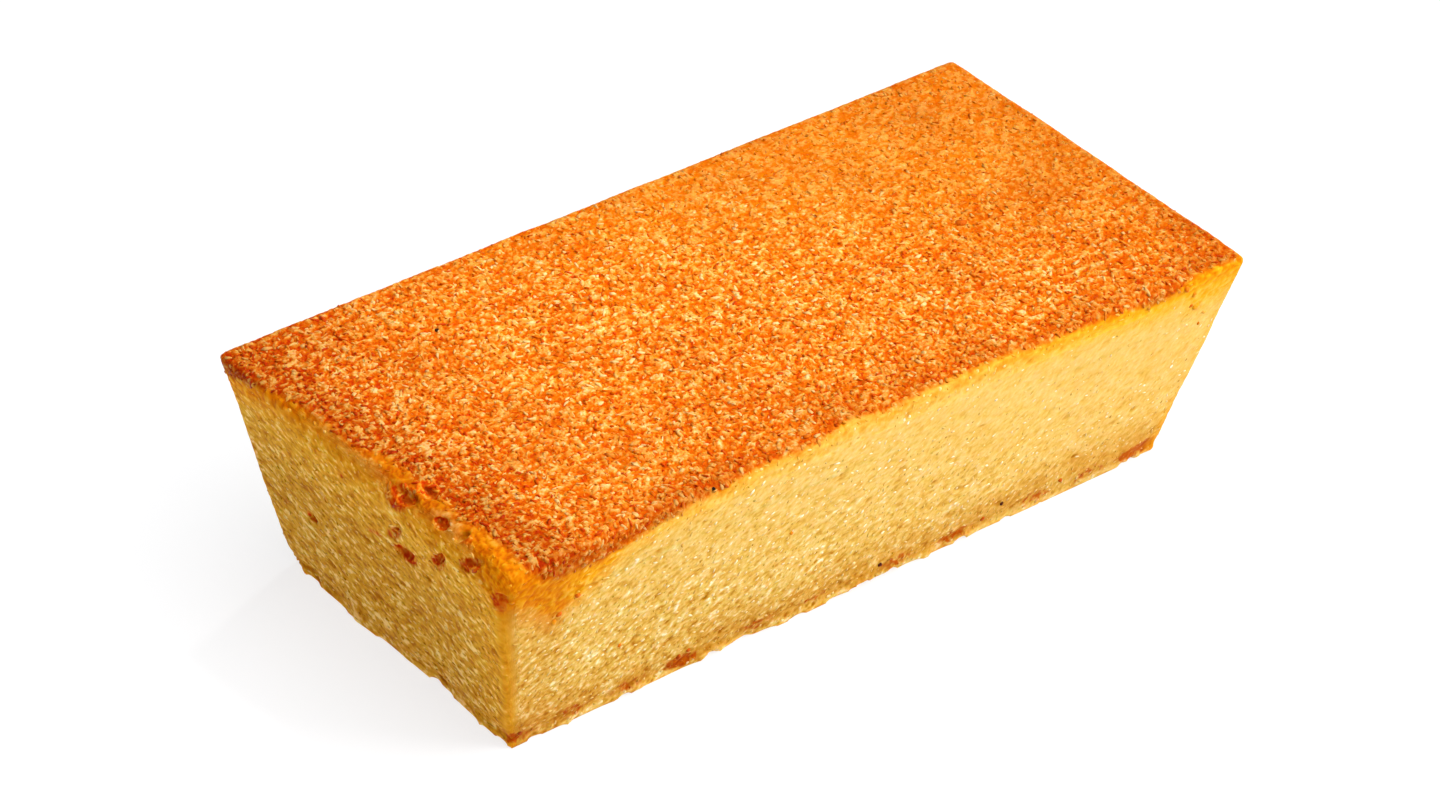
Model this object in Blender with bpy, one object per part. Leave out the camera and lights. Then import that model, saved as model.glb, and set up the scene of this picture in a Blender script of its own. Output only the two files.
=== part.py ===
"""A bar of basbousa, the syrup-soaked semolina cake, at its real size.

The bar is one solid of baked semolina: a flat slab, wider at its crust than at its foot, so that all
four sides lean in on the way down. It stands on its flat underside. The long side of the bar runs
along X, its short side along Y, and Z is up, with the origin in the middle of the underside.

The solid starts as a box cut along planes into a fine net. Each point of the net is then moved by
the same rule: the top edges are rounded, the sides lean in, and the surface is made as uneven as
baked crumb. Small cutters bite the pits out of one end and the chips out of the bottom rim.
"""

import math
import random

import bmesh
import bpy
from mathutils import Vector, noise

# Driving dimensions, in metres, measured to where the faces would meet if no edge were rounded
TOP_LENGTH = 0.1005
TOP_WIDTH = 0.0485
HEIGHT = 0.0262
END_LEAN = 0.0061
SIDE_LEAN = 0.0054

# Rounding of the edges: a crisp one all round, and softer where the crust has sagged
CRISP_ROUND = 0.0007
SAGS = (
    # middle along X, middle along Y, reach along X, reach along Y, reach down, extra rounding
    (-TOP_LENGTH / 2, -0.005, 0.008, 0.016, 0.014, 0.0022),
    (-0.004, -TOP_WIDTH / 2, 0.030, 0.008, 0.014, 0.0014),
    (-TOP_LENGTH / 2, -TOP_WIDTH / 2, 0.010, 0.010, 0.006, 0.0012),
)

# Net of cuts: close together at the edges, where the shape turns, and wider in the middle
EDGE_STEP = 0.0006
STEP_GROWTH = 1.22
WIDEST_STEP = 0.0027

# Unevenness of the baked surface, slight at the straight top edges and greater towards the foot
SWELL_LENGTH = 0.015
SWELL_HEIGHT = 0.00012
LUMP_LENGTH = 0.0055
LUMP_HEIGHT = 0.00010
MORE_AT_FOOT = 1.5

# Bottom rim: a thin base skin that stands out under a shallow groove, its outline ragged
GROOVE_HEIGHT = 0.0015
GROOVE_SPREAD = 0.0006
GROOVE_DEPTH = 0.00042
GROOVE_LENGTH = 0.011
GROOVE_BREAKS = 4.0
RIM_REACH = 0.0020
RIM_RAGGED_LENGTH = 0.0034
RIM_RAGGED_DEPTH = 0.00050

# Places where the foot spreads: axis it faces, sign, middle across, reach across, how far out
FOOT_SWELLS = (
    (0, -1, 0.0065, 0.0030, 0.00030),
    (0, -1, 0.0105, 0.0060, 0.00030),
    (0, -1, -0.0160, 0.0026, 0.00035),
    (1, -1, -0.0370, 0.0090, 0.00030),
    (1, -1, 0.0000, 0.0400, 0.00015),
    (1, 1, 0.0200, 0.0080, 0.00030),
    (0, 1, -0.0060, 0.0060, 0.00030),
)

# Pits that the oven opened in the end at -X and in the rounded edge above it
END_PITS = (
    # middle across, middle up, how far inside the plain end, length, height, lean in degrees
    (-0.0062, 0.0181, 0.0, 0.0042, 0.0017, -8),
    (-0.0055, 0.0209, 0.0, 0.0042, 0.0010, -54),
    (-0.0129, 0.0220, 0.0, 0.0040, 0.0013, -49),
    (-0.0189, 0.0252, 0.0004, 0.0034, 0.0013, -31),
    (-0.0064, 0.0256, 0.0014, 0.0036, 0.0016, 0),
    (-0.0078, 0.0260, 0.0034, 0.0032, 0.0012, 0),
    (-0.0124, 0.0257, 0.0015, 0.0022, 0.0012, 0),
    (-0.0154, 0.0258, 0.0019, 0.0014, 0.0012, 0),
    (-0.0232, 0.0232, 0.0002, 0.0020, 0.0016, 15),
    (0.0112, 0.0112, 0.0, 0.0014, 0.0010, 20),
    (0.0084, 0.0167, 0.0, 0.0016, 0.0008, 0),
)
END_PIT_DEPTH = 0.0009

# Cutters are lumps, each point of which is nearer or farther than a round one's by up to this share
CUTTER_SUBDIVISIONS = 2
CUTTER_LUMPINESS = 0.16
CUTTER_SEED = 5

# Chips out of the bottom rim: axis the side faces, sign, middle across, length, height, depth
CHIPS = (
    (0, -1, 0.0180, 0.0036, 0.0011, 0.0007),
    (0, -1, -0.0065, 0.0018, 0.0006, 0.0005),
    (1, -1, -0.0300, 0.0020, 0.0006, 0.0006),
    (1, -1, -0.0185, 0.0024, 0.0008, 0.0007),
    (1, -1, 0.0018, 0.0030, 0.0008, 0.0007),
    (1, -1, 0.0062, 0.0016, 0.0006, 0.0006),
    (1, -1, 0.0160, 0.0020, 0.0006, 0.0006),
    (1, -1, 0.0400, 0.0028, 0.0007, 0.0006),
)
CHIP_LEAN = 8.0

# The same on the two sides that face +X and +Y, at random places an even step apart
RANDOM_CHIP_SPACING = 0.015
RANDOM_CHIP_LENGTH = (0.0016, 0.0036)
RANDOM_CHIP_HEIGHT = (0.0006, 0.0011)
RANDOM_CHIP_DEPTH = (0.0005, 0.0008)
RANDOM_CHIP_PLACE = (0.2, 0.8)
CHIP_SEED = 11

CRUMB_COLOUR = (0.86, 0.52, 0.12, 1.0)
CRUMB_ROUGHNESS = 0.62


def clear_scene():
    """Remove what a new Blender file holds."""
    for thing in list(bpy.data.objects):
        bpy.data.objects.remove(thing)


def cake_material():
    """Yellow, moist semolina crumb."""
    material = bpy.data.materials.new("semolina_crumb")
    material.use_nodes = True
    shader = material.node_tree.nodes["Principled BSDF"]
    shader.inputs["Base Color"].default_value = CRUMB_COLOUR
    shader.inputs["Roughness"].default_value = CRUMB_ROUGHNESS
    shader.inputs["Metallic"].default_value = 0.0
    return material


def graded_cuts(low, high):
    """Places of the cuts between two faces: steps grow from each face towards the middle."""
    middle = (high - low) / 2
    from_face = []
    reach, step = EDGE_STEP, EDGE_STEP
    while reach < middle - step / 2:
        from_face.append(reach)
        step = min(step * STEP_GROWTH, WIDEST_STEP)
        reach += step
    return [low + d for d in from_face] + [high - d for d in reversed(from_face)]


def netted_box():
    """A box of the bar's outer size, standing on Z = 0, cut along planes square to each axis."""
    low = (-TOP_LENGTH / 2, -TOP_WIDTH / 2, 0.0)
    high = (TOP_LENGTH / 2, TOP_WIDTH / 2, HEIGHT)
    net = bmesh.new()
    bmesh.ops.create_cube(net, size=1.0)
    bmesh.ops.scale(net, vec=(TOP_LENGTH, TOP_WIDTH, HEIGHT), verts=net.verts)
    bmesh.ops.translate(net, vec=(0.0, 0.0, HEIGHT / 2), verts=net.verts)
    for axis in range(3):
        normal = Vector((0.0, 0.0, 0.0))
        normal[axis] = 1.0
        for place in graded_cuts(low[axis], high[axis]):
            everything = net.verts[:] + net.edges[:] + net.faces[:]
            bmesh.ops.bisect_plane(net, geom=everything, plane_co=normal * place, plane_no=normal)
    return net


def bell(distance, reach):
    """1 at no distance, falling smoothly to nothing past the reach."""
    return math.exp(-((distance / reach) ** 2))


def rounding_at(point):
    """Radius of the edges near this point of the box."""
    radius = CRISP_ROUND
    for x, y, reach_x, reach_y, reach_down, extra in SAGS:
        near = bell(point.x - x, reach_x) * bell(point.y - y, reach_y)
        radius += extra * near * bell(HEIGHT - point.z, reach_down)
    return radius


def rounded(point):
    """The point moved onto the box with rounded edges, and the direction that faces out there."""
    radius = rounding_at(point)
    half_length = TOP_LENGTH / 2 - radius
    half_width = TOP_WIDTH / 2 - radius
    core = Vector((
        max(-half_length, min(half_length, point.x)),
        max(-half_width, min(half_width, point.y)),
        min(HEIGHT - radius, point.z),
    ))
    outward = point - core
    if outward.length < radius / 2:
        return point.copy(), Vector((0.0, 0.0, 0.0))
    outward.normalize()
    return core + outward * radius, outward


def foot_spread(point, outward):
    """How far the foot stands out at this point beyond the plain leaning side."""
    spread = 0.0
    for axis, sign, across, reach, out in FOOT_SWELLS:
        facing = max(0.0, sign * outward[axis])
        spread += out * facing * bell(point[1 - axis] - across, reach)
    return spread


def unevenness(point, outward):
    """How far the baked surface stands out (+) or in (-) at this point."""
    swell = SWELL_HEIGHT * noise.noise(point / SWELL_LENGTH)
    lumps = LUMP_HEIGHT * noise.noise(point / LUMP_LENGTH)
    low = 1.0 - point.z / HEIGHT
    rim = bell(point.z, RIM_REACH)
    ragged = RIM_RAGGED_DEPTH * noise.noise(point / RIM_RAGGED_LENGTH)
    along_groove = 0.5 + 0.5 * math.tanh(GROOVE_BREAKS * noise.noise(point / GROOVE_LENGTH))
    groove = -GROOVE_DEPTH * along_groove * bell(point.z - GROOVE_HEIGHT, GROOVE_SPREAD)
    side = math.hypot(outward.x, outward.y)
    spread = foot_spread(point, outward)
    return (swell + lumps) * (1.0 + MORE_AT_FOOT * low) + side * (rim * (ragged + spread) + groove)


def leaned(point):
    """The point drawn in towards the middle, the more the nearer it is to the foot."""
    drop = 1.0 - point.z / HEIGHT
    return Vector((
        point.x * (1.0 - drop * END_LEAN / (TOP_LENGTH / 2)),
        point.y * (1.0 - drop * SIDE_LEAN / (TOP_WIDTH / 2)),
        point.z,
    ))


def shape_slab(net):
    """Move each point of the net from the box onto the baked slab, and centre the slab on the origin."""
    for vert in net.verts:
        place, outward = rounded(vert.co)
        place = place + outward * unevenness(place, outward)
        vert.co = leaned(place)
    middle = Vector((
        (max(v.co.x for v in net.verts) + min(v.co.x for v in net.verts)) / 2,
        (max(v.co.y for v in net.verts) + min(v.co.y for v in net.verts)) / 2,
        0.0,
    ))
    bmesh.ops.translate(net, vec=-middle, verts=net.verts)


def side_place(axis, sign, across, height):
    """A point on the leaning side that faces along X (axis 0) or Y (axis 1)."""
    drop = 1.0 - height / HEIGHT
    if axis == 0:
        return Vector((sign * (TOP_LENGTH / 2 - END_LEAN * drop), across, height))
    return Vector((across, sign * (TOP_WIDTH / 2 - SIDE_LEAN * drop), height))


def add_cutter(collection, name, place, half_sizes, lean_degrees, axis):
    """One crumb-shaped cutter, sunk into the side that faces along the axis."""
    lump = bmesh.new()
    bmesh.ops.create_icosphere(lump, subdivisions=CUTTER_SUBDIVISIONS, radius=1.0)
    draw = random.Random(f"{CUTTER_SEED} {name}")
    for vert in lump.verts:
        vert.co *= 1.0 + draw.uniform(-CUTTER_LUMPINESS, CUTTER_LUMPINESS)
    mesh = bpy.data.meshes.new(name)
    lump.to_mesh(mesh)
    lump.free()
    cutter = bpy.data.objects.new(name, mesh)
    depth, half_width, half_height = half_sizes
    cutter.scale = (depth, half_width, half_height) if axis == 0 else (half_width, depth, half_height)
    cutter.rotation_euler[axis] = math.radians(lean_degrees)
    cutter.location = place
    cutter.hide_render = True
    cutter.display_type = "WIRE"
    collection.objects.link(cutter)


def end_pits(collection):
    """The pits in the end at -X, deepest in their middles."""
    for number, (across, height, inset, length, tall, lean) in enumerate(END_PITS, 1):
        place = side_place(0, -1, across, height) + Vector((inset, 0.0, 0.0))
        sizes = (END_PIT_DEPTH, length / 2, tall / 2)
        add_cutter(collection, f"end_pit_{number}", place, sizes, lean, 0)


def random_chips(draw):
    """Rows like those of CHIPS for the sides that face +X and +Y."""
    rows = []
    for axis, span in ((0, TOP_WIDTH - 2 * SIDE_LEAN), (1, TOP_LENGTH - 2 * END_LEAN)):
        count = round(span / RANDOM_CHIP_SPACING)
        for index in range(count):
            across = span * ((index + draw.uniform(*RANDOM_CHIP_PLACE)) / count - 0.5)
            length = draw.uniform(*RANDOM_CHIP_LENGTH)
            height = draw.uniform(*RANDOM_CHIP_HEIGHT)
            depth = draw.uniform(*RANDOM_CHIP_DEPTH)
            rows.append((axis, 1, across, length, height, depth))
    return rows


def rim_chips(collection):
    """Chips where crumbs have broken off the bottom rim, all round the foot."""
    draw = random.Random(CHIP_SEED)
    rows = list(CHIPS) + random_chips(draw)
    for number, (axis, sign, across, length, height, depth) in enumerate(rows, 1):
        place = side_place(axis, sign, across, 0.0)
        lean = draw.uniform(-CHIP_LEAN, CHIP_LEAN)
        add_cutter(collection, f"rim_chip_{number}", place, (depth, length / 2, height), lean, axis)


def build_slab():
    """The bar itself, with its pits and chips cut."""
    net = netted_box()
    shape_slab(net)
    bmesh.ops.recalc_face_normals(net, faces=net.faces)
    mesh = bpy.data.meshes.new("basbousa_slab")
    net.to_mesh(mesh)
    net.free()
    mesh.materials.append(cake_material())
    slab = bpy.data.objects.new("basbousa_slab", mesh)
    bpy.context.scene.collection.objects.link(slab)

    cutters = bpy.data.collections.new("crumb_cutters")
    cutters.hide_render = True
    bpy.context.scene.collection.children.link(cutters)
    end_pits(cutters)
    rim_chips(cutters)
    bite = slab.modifiers.new("pits_and_chips", "BOOLEAN")
    bite.operation = "DIFFERENCE"
    bite.operand_type = "COLLECTION"
    bite.collection = cutters
    bite.solver = "EXACT"
    return slab


clear_scene()
build_slab()
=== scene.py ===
"""A bar of basbousa as it looks: moist yellow semolina crumb under a flat, browned, grainy crust."""

import math

import bmesh
import bpy
import numpy as np
from mathutils import Matrix, Vector


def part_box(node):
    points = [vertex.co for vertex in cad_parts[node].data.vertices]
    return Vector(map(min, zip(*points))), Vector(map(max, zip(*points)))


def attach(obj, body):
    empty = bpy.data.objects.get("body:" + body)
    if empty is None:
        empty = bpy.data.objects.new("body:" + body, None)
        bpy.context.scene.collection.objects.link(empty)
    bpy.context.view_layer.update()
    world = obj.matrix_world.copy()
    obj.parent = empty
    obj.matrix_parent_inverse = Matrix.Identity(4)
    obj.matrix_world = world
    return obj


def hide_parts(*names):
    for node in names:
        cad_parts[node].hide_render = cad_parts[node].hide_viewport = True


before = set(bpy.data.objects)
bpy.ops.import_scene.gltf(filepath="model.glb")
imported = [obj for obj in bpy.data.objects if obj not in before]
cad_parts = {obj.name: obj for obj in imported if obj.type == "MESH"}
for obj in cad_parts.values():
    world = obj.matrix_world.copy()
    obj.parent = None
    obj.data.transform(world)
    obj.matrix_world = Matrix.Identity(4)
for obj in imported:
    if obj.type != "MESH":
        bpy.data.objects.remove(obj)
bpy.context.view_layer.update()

NODE = "basbousa_slab"
BODY = "root"
MM = 0.001


# The view
# The camera looks down past the front left corner of the bar through a long lens. It stands where
# the outline of the solid fits the photograph's, and is turned a little about its own axis.

VIEW_AZIMUTH = math.radians(-41.319)
VIEW_ELEVATION = math.radians(35.378)
VIEW_ROLL = math.radians(3.706)
VIEW_DISTANCE = 0.640
VIEW_AIM = Vector((0.0, 0.0, 0.013))
LENS_MM = 150.8
SENSOR_MM = 36.0
LENS_SHIFT = (-0.01089, 0.00036)


def place_camera():
    """Create the camera and make it the scene's own."""
    flat = math.cos(VIEW_ELEVATION)
    back = Vector((
        math.sin(VIEW_AZIMUTH) * flat,
        -math.cos(VIEW_AZIMUTH) * flat,
        math.sin(VIEW_ELEVATION),
    ))
    level = Vector((math.cos(VIEW_AZIMUTH), math.sin(VIEW_AZIMUTH), 0.0))
    turn = Matrix.Rotation(VIEW_ROLL, 3, back)
    right = turn @ level
    up = turn @ back.cross(level)
    lens = bpy.data.cameras.new("photo_lens")
    lens.lens = LENS_MM
    lens.sensor_width = SENSOR_MM
    lens.shift_x, lens.shift_y = LENS_SHIFT
    lens.clip_start = 0.01
    lens.clip_end = 20.0
    camera = bpy.data.objects.new("photo_camera", lens)
    pose = Matrix((right, up, back)).transposed().to_4x4()
    pose.translation = VIEW_AIM + back * VIEW_DISTANCE
    camera.matrix_world = pose
    bpy.context.scene.collection.objects.link(camera)
    bpy.context.scene.camera = camera


place_camera()


# Crust and crumb
# One piece of baked semolina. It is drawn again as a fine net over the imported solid, cut level under
# the crust only to keep each mesh light, and each point carries marks that say how it has browned.

CRUST_PART_DEPTH = 6.0 * MM
CRUST_NET = 0.270 * MM
CRUMB_NET = 0.325 * MM
END_LEAN = 6.1 * MM
SIDE_LEAN = 5.4 * MM
MERGE = 0.001 * MM

# Where the crust's grain ends on each side and where the amber under it ends: place along the side,
# and how far above the plain top edge (+, over the rounding and in across the top) or below it (-),
# in mm
FRONT_CRUST = ((-50, -0.4), (-46, -0.6), (-44.5, -2.6), (-41, -2.7), (-38, -3.1), (-35, -2.7), (-31, -1.7),
               (-27, -1.1), (-23, -0.7), (-19, -0.1), (-15, 0.5), (-9, 0.2), (-5, 1.5), (-3, 1.6), (0, 0.5),
               (7, 1.0), (14, 1.1), (18, 0.8), (21, 0.1), (30, 0.0), (34, -0.6), (37.5, -1.6), (40.5, -0.9),
               (43, 0.4), (46, 0.3), (50, -0.1))
FRONT_AMBER = ((-50, -6.0), (-47, -5.6), (-44.5, -7.6), (-42.5, -9.5), (-40, -7.8), (-37, -6.0), (-34, -3.6),
               (-30, -2.1), (-26, -1.1), (-23, -1.2), (-21.5, -2.0), (-19.5, -0.4), (-18, -1.3), (-15, 0.4), (-9, 0.2),
               (-6.5, 0.6), (-5.5, -0.3), (-4, 1.4), (0, 0.5), (7, 1.0), (14, 1.1), (18, 0.8), (21, 0.2), (28, -0.3),
               (31, -1.9), (33, -1.4), (36, -2.8), (38, -2.0), (40.5, -2.7), (43.5, -5.2), (50, -4.8))
LEFT_CRUST = ((-24, 3.6), (-18, 3.8), (-13, 3.2), (-10, 3.5), (-6, 3.2), (-3, 3.6), (0, 3.0), (2, 1.9), (4, 1.5),
              (8, 1.7), (13, 1.0), (15.5, 0.1), (18.5, -1.2), (22, -2.3), (24, -2.8))
LEFT_AMBER = ((-24, -7.0), (-22.5, -6.0), (-21, -3.2), (-19, -1.6), (-17, 0.0), (-14, 1.3), (-11.5, 1.6),
              (-9.5, -0.3), (-5, -1.3), (-3, 0.5), (-1, 1.0), (3, 0.3), (8.5, -0.1), (11.5, -1.2), (15.5, -2.7),
              (19, -4.0), (24, -4.4))
BACK_CRUST = ((-50, -2.6), (-36, -2.2), (-18, -0.9), (4, -0.4), (24, -0.5), (40, -1.6), (50, -0.8))
BACK_AMBER = ((-50, -4.6), (-30, -4.2), (-10, -2.4), (12, -1.6), (34, -3.4), (50, -5.4))
RIGHT_CRUST = ((-24, 0.0), (-14, -1.0), (-3, -0.4), (8, -0.5), (16, -1.4), (24, -2.4))
RIGHT_AMBER = ((-24, -5.0), (-12, -2.8), (2, -1.2), (14, -3.0), (24, -4.6))

# Pits of the end at -X, browned inside: middle (how far in from the plain end, across, up), half size
# (in, across, up) and lean in mm and degrees, and how brown from 0.5 to 1; the browner ones get a
# painted shadow slot in the middle
END_PITS = (
    (0.0, -6.2, 18.0, 3.0, 2.1, 0.95, -8, 0.86),
    (0.0, -4.7, 19.9, 3.0, 1.8, 0.70, -40, 0.60),
    (0.0, -12.4, 21.2, 3.0, 1.2, 1.00, -25, 0.78),
    (0.2, -17.9, 24.4, 3.0, 1.5, 0.80, -20, 0.86),
    (1.2, -5.7, 25.0, 1.9, 2.2, 1.80, 0, 0.64),
    (1.3, -6.4, 25.3, 0.6, 1.1, 1.50, 0, 1.10),
    (3.6, -7.3, 26.0, 1.2, 1.8, 1.80, 0, 0.66),
    (3.7, -7.4, 26.0, 0.5, 1.3, 1.80, 0, 1.15),
    (1.6, -12.2, 25.6, 0.6, 1.2, 1.20, 0, 0.92),
    (1.6, -16.0, 26.0, 0.6, 0.9, 0.90, 0, 0.80),
    (0.2, -22.6, 22.6, 1.6, 1.1, 1.30, 15, 0.72),
    (0.0, 11.4, 11.3, 3.0, 1.5, 0.90, 20, 0.52),
    (0.0, -1.0, 17.5, 3.0, 1.5, 0.30, -18, 0.72),
    (0.0, 7.9, 16.4, 3.0, 0.8, 0.30, -18, 0.74),
    (0.0, 3.4, 22.4, 3.0, 0.6, 0.28, -18, 0.72),
)

# Where the crust is palest, and how far that reaches along and across; where it is darkest
PALE_MIDDLE = (6 * MM, 9 * MM)
PALE_REACH = (44 * MM, 19 * MM)
DARK_CORNER = (-49 * MM, 23 * MM)
DARK_CORNER_REACH = 9 * MM
DARK_RIM = 2.5 * MM
DARK_LEFT = 8.0 * MM
FAR_BELOW = 12.0 * MM

# How much farther apart light and dark lie on the ends at -X and at +X
END_CONTRAST = 0.55
RIGHT_CONTRAST = 0.50
SAG_MIDDLE = -7.0 * MM
SAG_REACH = 9.0 * MM

# Half width of the rounding of the top edge over the end at -X and over the front
LEFT_ROUNDING = 2.8 * MM
FRONT_ROUNDING = 1.9 * MM

# Browned smears just above the foot of the front: middle along, half length and height in mm, strength
FOOT_SMEARS = (
    (-43.5, 2.6, 1.5, 0.9),
    (-36.5, 2.4, 1.8, 0.7),
    (-29.5, 2.8, 1.5, 0.5),
    (-22.4, 2.0, 1.3, 1.35),
    (-12.5, 2.2, 1.8, 0.6),
    (-5.0, 2.6, 1.7, 0.45),
    (6.5, 2.4, 1.7, 0.6),
    (15.0, 2.4, 1.4, 0.85),
    (26.5, 2.0, 1.4, 0.7),
    (34.0, 2.6, 1.5, 0.5),
    (42.0, 3.6, 1.5, 1.5),
)

# How far the foot has settled outwards: place along the front, and the spread in mm; the same for
# the end at -X, by place across
FRONT_SPREAD = ((-50, 0.95), (-38, 0.75), (-20, 0.5), (10, 0.42), (34, 0.3), (50, 0.25))
LEFT_SPREAD = ((-24, 0.95), (-17, 0.45), (-10, 0.1), (24, 0.2))
RIGHT_SPREAD = 0.30 * MM

# Where the lip of the front's foot stands a little off the table: middle along, half length and gap, in mm
LIP_GAPS = ((-15.5, 4.5, 0.30), (-2.0, 5.0, 0.12), (5.0, 4.0, 0.42), (17.0, 5.0, 0.15))

# Where the lip of the front's foot bulges: middle along, half length and how far out, in mm
LIP_BULGES = ((-30.0, 1.6, 0.25), (-18.5, 1.9, 0.55), (1.8, 2.0, 0.40), (6.2, 1.4, 0.30), (16.0, 1.6, 0.30))


def add_node(tree, kind, inputs=None, **settings):
    """One node in a tree: settings are its own, inputs are values or other nodes' outputs."""
    made = tree.nodes.new(kind)
    for name, value in settings.items():
        setattr(made, name, value)
    for key, value in (inputs or {}).items():
        if isinstance(value, bpy.types.NodeSocket):
            tree.links.new(value, made.inputs[key])
        else:
            made.inputs[key].default_value = value
    return made


def sum_of(tree, operation, *values, clamp=False):
    """The result of one sum on values or outputs."""
    made = add_node(tree, "ShaderNodeMath", dict(enumerate(values)), operation=operation, use_clamp=clamp)
    return made.outputs[0]


def eased(tree, value, low, high):
    """0 at low, 1 at high and an even curve between, in nodes."""
    made = add_node(tree, "ShaderNodeMapRange", {"Value": value, "From Min": low, "From Max": high},
                    interpolation_type="SMOOTHSTEP")
    return made.outputs["Result"]


def noise(tree, place, size, detail=0.0):
    """Noise from 0 to 1 whose waves are about the size long."""
    made = add_node(tree, "ShaderNodeTexNoise", {
        "Vector": place, "Scale": sum_of(tree, "DIVIDE", 1.0, size), "Detail": detail,
    })
    return made.outputs[0]


def smooth_step(value, low, high):
    """0 at low, 1 at high and an even curve between."""
    share = np.clip((value - low) / (high - low), 0.0, 1.0)
    return share * share * (3.0 - 2.0 * share)


def along(points, place):
    """Value in metres of a line given in mm, at places in metres."""
    xs, values = zip(*points)
    return np.interp(place / MM, xs, values) * MM


def settle(thing):
    """Make what the object's modifiers give its plain mesh, and remove them."""
    shown = thing.evaluated_get(bpy.context.evaluated_depsgraph_get())
    made = bpy.data.meshes.new_from_object(shown)
    made.name = thing.name
    thing.modifiers.clear()
    thing.data = made


def fine_skin(name, step):
    """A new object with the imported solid's surface as an even net of the step's size."""
    net = bmesh.new()
    net.from_mesh(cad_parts[NODE].data)
    bmesh.ops.remove_doubles(net, verts=net.verts, dist=MERGE)
    mesh = bpy.data.meshes.new(name)
    net.to_mesh(mesh)
    net.free()
    skin = bpy.data.objects.new(name, mesh)
    bpy.context.scene.collection.objects.link(skin)
    remesh = skin.modifiers.new("even_net", "REMESH")
    remesh.mode = "VOXEL"
    remesh.voxel_size = step
    remesh.use_smooth_shade = True
    settle(skin)
    return skin


def points_of(mesh):
    """Places of a mesh's points, as columns x, y and z."""
    place = np.empty(len(mesh.vertices) * 3, np.float32)
    mesh.vertices.foreach_get("co", place)
    return place.reshape(-1, 3).T.astype(float)


def spread_foot(mesh):
    """Move the sides outwards towards the foot, where the moist cake has settled."""
    x, y, z = points_of(mesh)
    share = np.clip(1.0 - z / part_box(NODE)[1].z, 0.0, 1.0)
    to_front = smooth_step(y, -4 * MM, -18 * MM)
    to_left = smooth_step(x, -30 * MM, -42 * MM)
    to_right = smooth_step(x, 30 * MM, 42 * MM)
    new_x = x + share * (RIGHT_SPREAD * to_right - along(LEFT_SPREAD, y) * to_left)
    new_y = y - share * along(FRONT_SPREAD, x) * to_front
    for middle, half_length, out in LIP_BULGES:
        bulge = np.exp(-((x - middle * MM) / (half_length * MM)) ** 2) * smooth_step(z, 1.6 * MM, 0.5 * MM)
        new_y = new_y - out * MM * bulge * to_front
    at_lip = smooth_step(z, 1.4 * MM, 0.2 * MM) * smooth_step(y, -17.2 * MM, -18.4 * MM)
    for middle, half_length, gap in LIP_GAPS:
        z = z + gap * MM * np.exp(-((x - middle * MM) / (half_length * MM)) ** 2) * at_lip
    mesh.vertices.foreach_set("co", np.stack([new_x, new_y, z], 1).astype(np.float32).ravel())


def round_edges(mesh):
    """Round the top edge more over the end at -X and over the front, where the crust has sagged."""
    x, y, z = points_of(mesh)
    low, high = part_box(NODE)
    drop = high.z - z
    plane_x = low.x + END_LEAN * drop / high.z
    plane_y = low.y + SIDE_LEAN * drop / high.z
    share = smooth_step(y, 20 * MM, 8 * MM)
    inside = x - plane_x
    away = np.hypot(inside - LEFT_ROUNDING, drop - LEFT_ROUNDING)
    near = (inside < LEFT_ROUNDING) & (drop < LEFT_ROUNDING) & (away > LEFT_ROUNDING)
    pull = np.where(near, share * (1.0 - LEFT_ROUNDING / np.maximum(away, MERGE)), 0.0)
    x = x + (LEFT_ROUNDING - inside) * pull
    drop = drop + (LEFT_ROUNDING - drop) * pull
    share = smooth_step(x, 46 * MM, 34 * MM)
    inside = y - plane_y
    away = np.hypot(inside - FRONT_ROUNDING, drop - FRONT_ROUNDING)
    near = (inside < FRONT_ROUNDING) & (drop < FRONT_ROUNDING) & (away > FRONT_ROUNDING)
    pull = np.where(near, share * (1.0 - FRONT_ROUNDING / np.maximum(away, MERGE)), 0.0)
    y = y + (FRONT_ROUNDING - inside) * pull
    drop = drop + (FRONT_ROUNDING - drop) * pull
    mesh.vertices.foreach_set("co", np.stack([x, y, high.z - drop], 1).astype(np.float32).ravel())


def mark(mesh, name, values):
    """Store one number for each point of a mesh."""
    layer = mesh.attributes.new(name, "FLOAT", "POINT")
    layer.data.foreach_set("value", values.astype(np.float32))


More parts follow.
